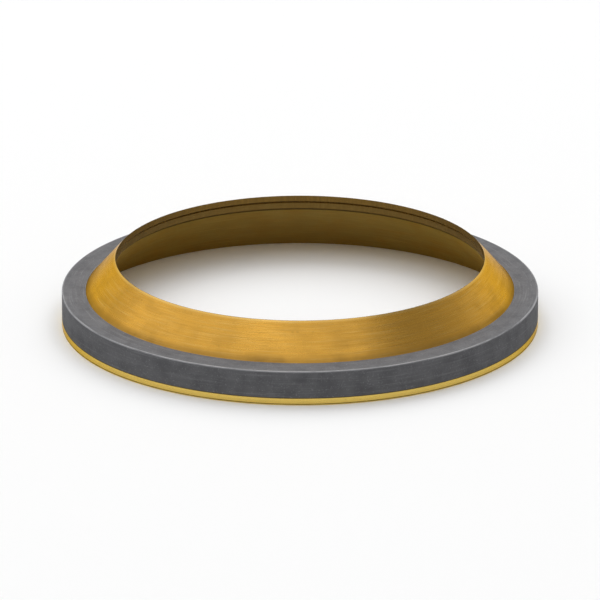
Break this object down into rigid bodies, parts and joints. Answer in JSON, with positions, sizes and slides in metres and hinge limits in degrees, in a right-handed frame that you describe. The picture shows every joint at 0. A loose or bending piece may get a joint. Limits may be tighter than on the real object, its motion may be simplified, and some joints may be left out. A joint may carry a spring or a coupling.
{
  "type": "wiper seal",
  "caption": "Rod wiper seal: nested conical brass scraper blades rise inward to the rod from under a grey steel retainer ring of triangular section.",
  "frame": {"origin": "on the seal's axis, in the plane of the flat under the blades' rims that it rests on", "axes": "+Z along the seal's axis, from the resting plane towards the lips"},
  "size_m": [0.0492, 0.0492, 0.0071],
  "materials": {
    "retainer_steel": "dull grey phosphated, finely turned",
    "blade_brass": "satin rolled sheet"
  },
  "bodies": {
    "root": {"retainer_ring": "retainer_steel", "upper_blade": "blade_brass", "lower_blade": "blade_brass"}
  },
  "joints": []
}
